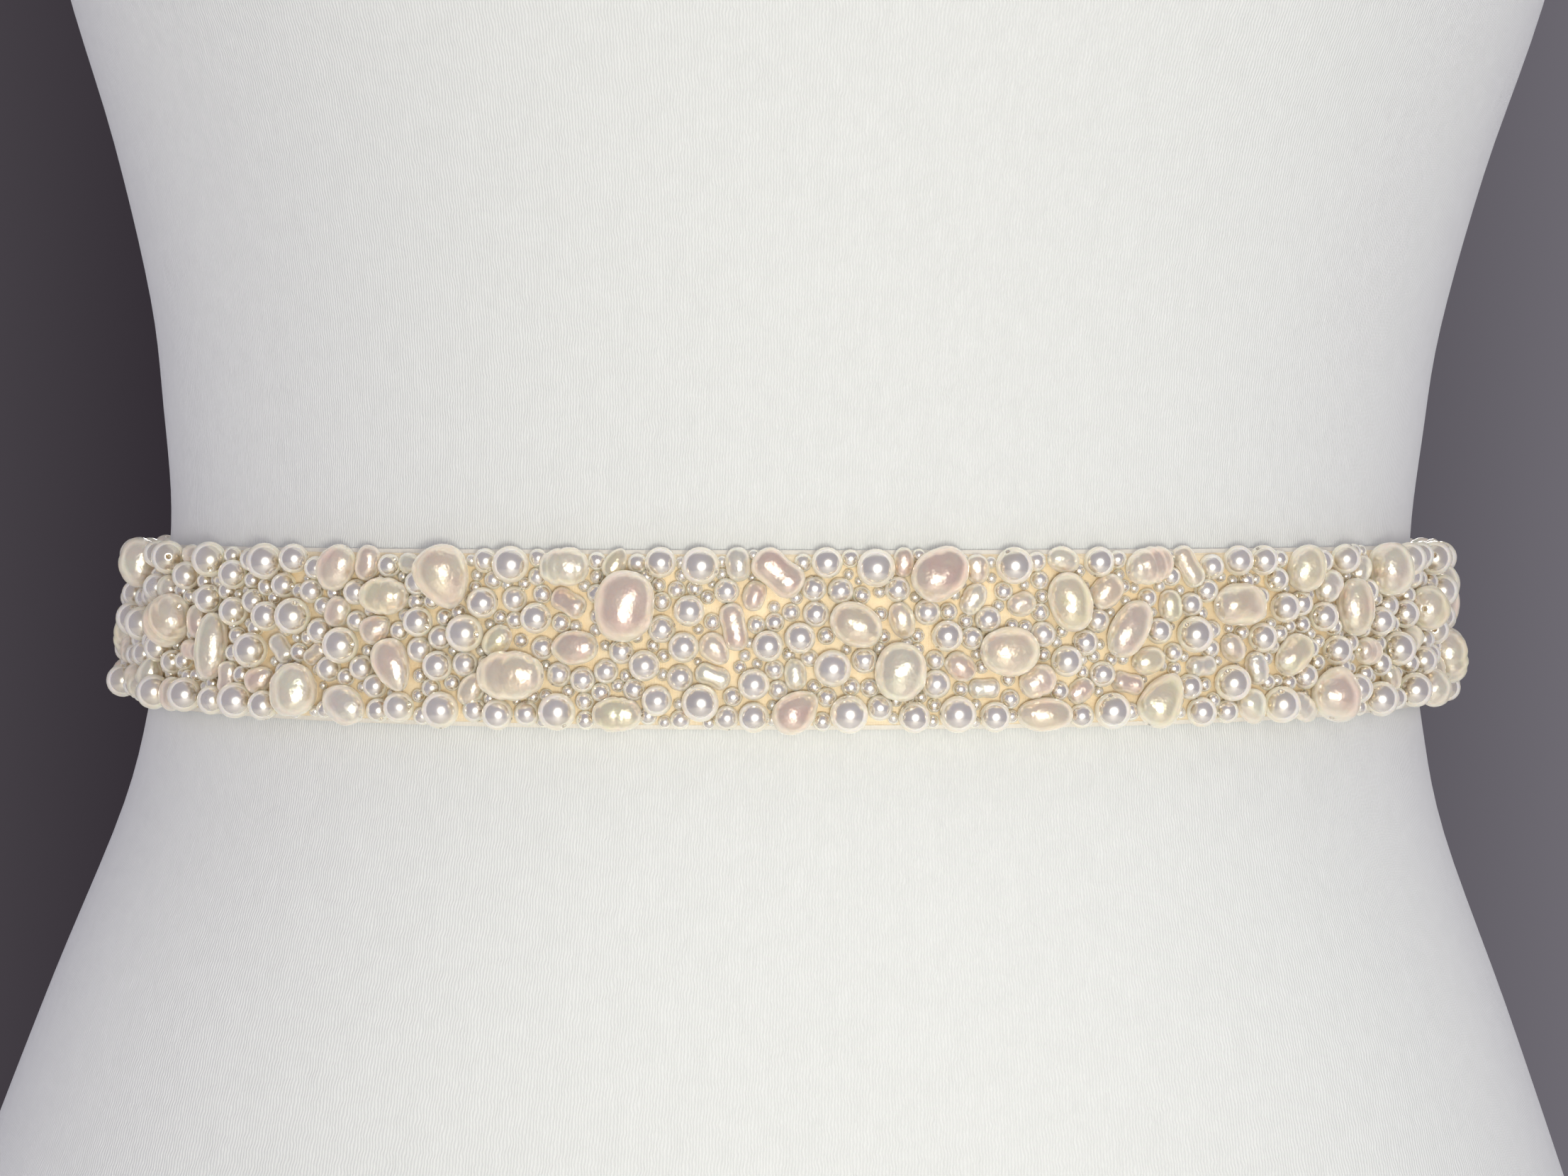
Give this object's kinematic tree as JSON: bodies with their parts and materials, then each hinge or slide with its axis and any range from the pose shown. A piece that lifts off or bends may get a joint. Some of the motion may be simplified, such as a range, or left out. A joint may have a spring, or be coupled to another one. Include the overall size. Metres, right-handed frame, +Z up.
{
  "type": "bridal sash on dress form",
  "caption": "Satin ribbon sash covered with round and freshwater pearls, worn round the waist of a limbless dress form and closed at the centre back.",
  "frame": {"origin": "centre of the form's footprint on the surface it stands on, the middle of the underside of the bounding box", "axes": "+Z up along the form's axis, +X to the wearer's left side, the wearer's front towards -Y"},
  "size_m": [0.3392, 0.242, 0.7263],
  "materials": {
    "form_jersey": "matt fine-ribbed knit",
    "form_board": "painted, satin",
    "satin": "satin sheen",
    "pearl": "pearl lustre",
    "stud_metal": "plated, bright"
  },
  "bodies": {
    "root": {"form_torso": "form_jersey", "form_base_board": "form_board", "form_neck_cap": "form_board", "sash_ribbon": "satin", "pearled_ground": "pearl", "press_stud_upper": "stud_metal", "press_stud_lower": "stud_metal"}
  },
  "joints": []
}
